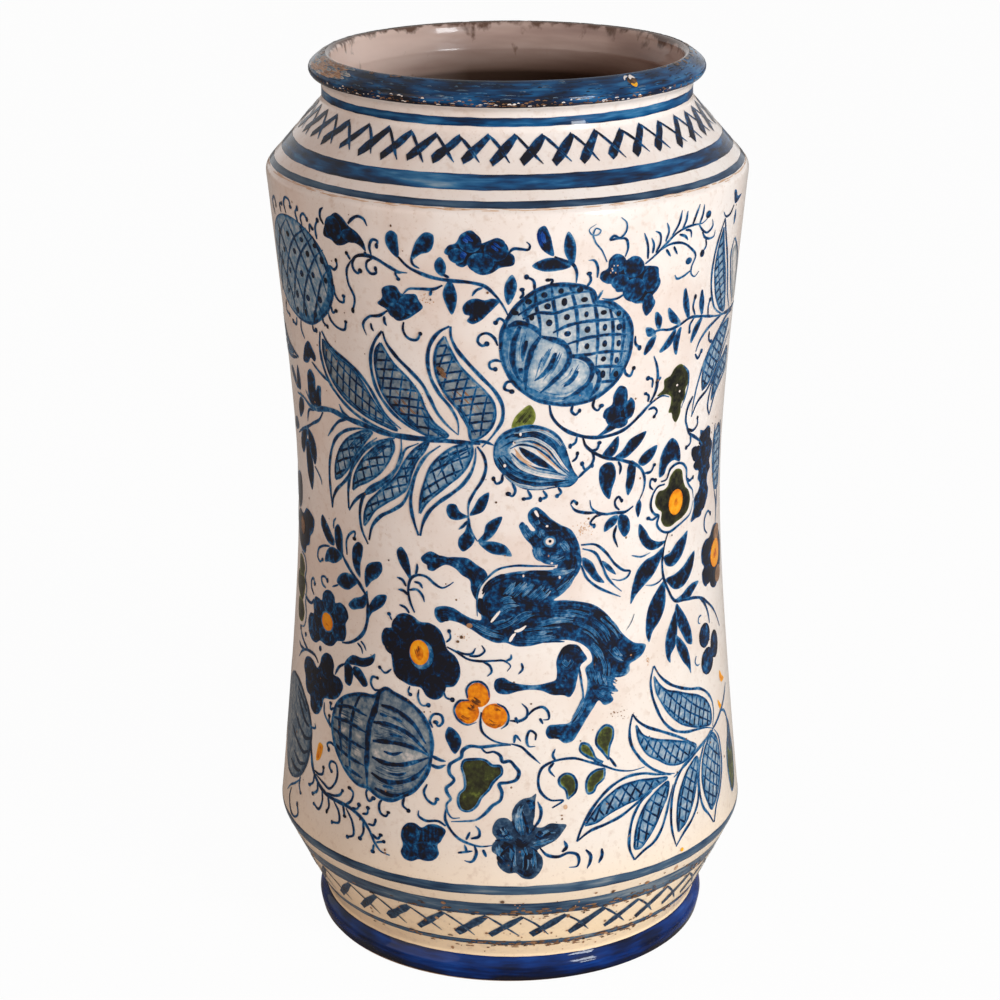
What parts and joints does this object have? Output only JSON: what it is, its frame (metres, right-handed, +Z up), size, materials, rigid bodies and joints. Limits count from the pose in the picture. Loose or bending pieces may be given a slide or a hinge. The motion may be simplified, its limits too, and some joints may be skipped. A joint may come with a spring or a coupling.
{
  "type": "albarello",
  "caption": "Tall waisted apothecary jar of tin-glazed earthenware with a flanged foot, sloping shoulder, tie-down neck and open everted mouth, painted in blue, green and orange.",
  "frame": {"origin": "centre of the standing face, on the surface the jar stands on", "axes": "+Z up along the jar's axis, -Y towards the side with the running goat"},
  "size_m": [0.1602, 0.1602, 0.3001],
  "materials": {
    "clay": "matte fired earthenware",
    "lining_glaze": "thin, uneven tin glaze with a satin gloss",
    "white_glaze": "glossy tin glaze, creamy pink-white, with pinholes",
    "blue_paint": "brushed cobalt under gloss",
    "foot_paint": "solid cobalt under gloss"
  },
  "bodies": {
    "root": {"foot_ring": "clay", "floor_disc": "clay", "heel_wall": "clay", "lower_wall": "clay", "upper_wall": "clay", "shoulder_cone": "clay", "neck_ring": "clay", "rim_lip": "clay", "inner_glaze": "lining_glaze", "outer_glaze": "white_glaze", "rim_band": "blue_paint", "neck_band": "blue_paint", "shoulder_band": "blue_paint", "shoulder_edge_band": "blue_paint", "heel_line_upper": "blue_paint", "heel_line_lower": "blue_paint", "heel_line_base": "blue_paint", "foot_band": "foot_paint"}
  },
  "joints": []
}
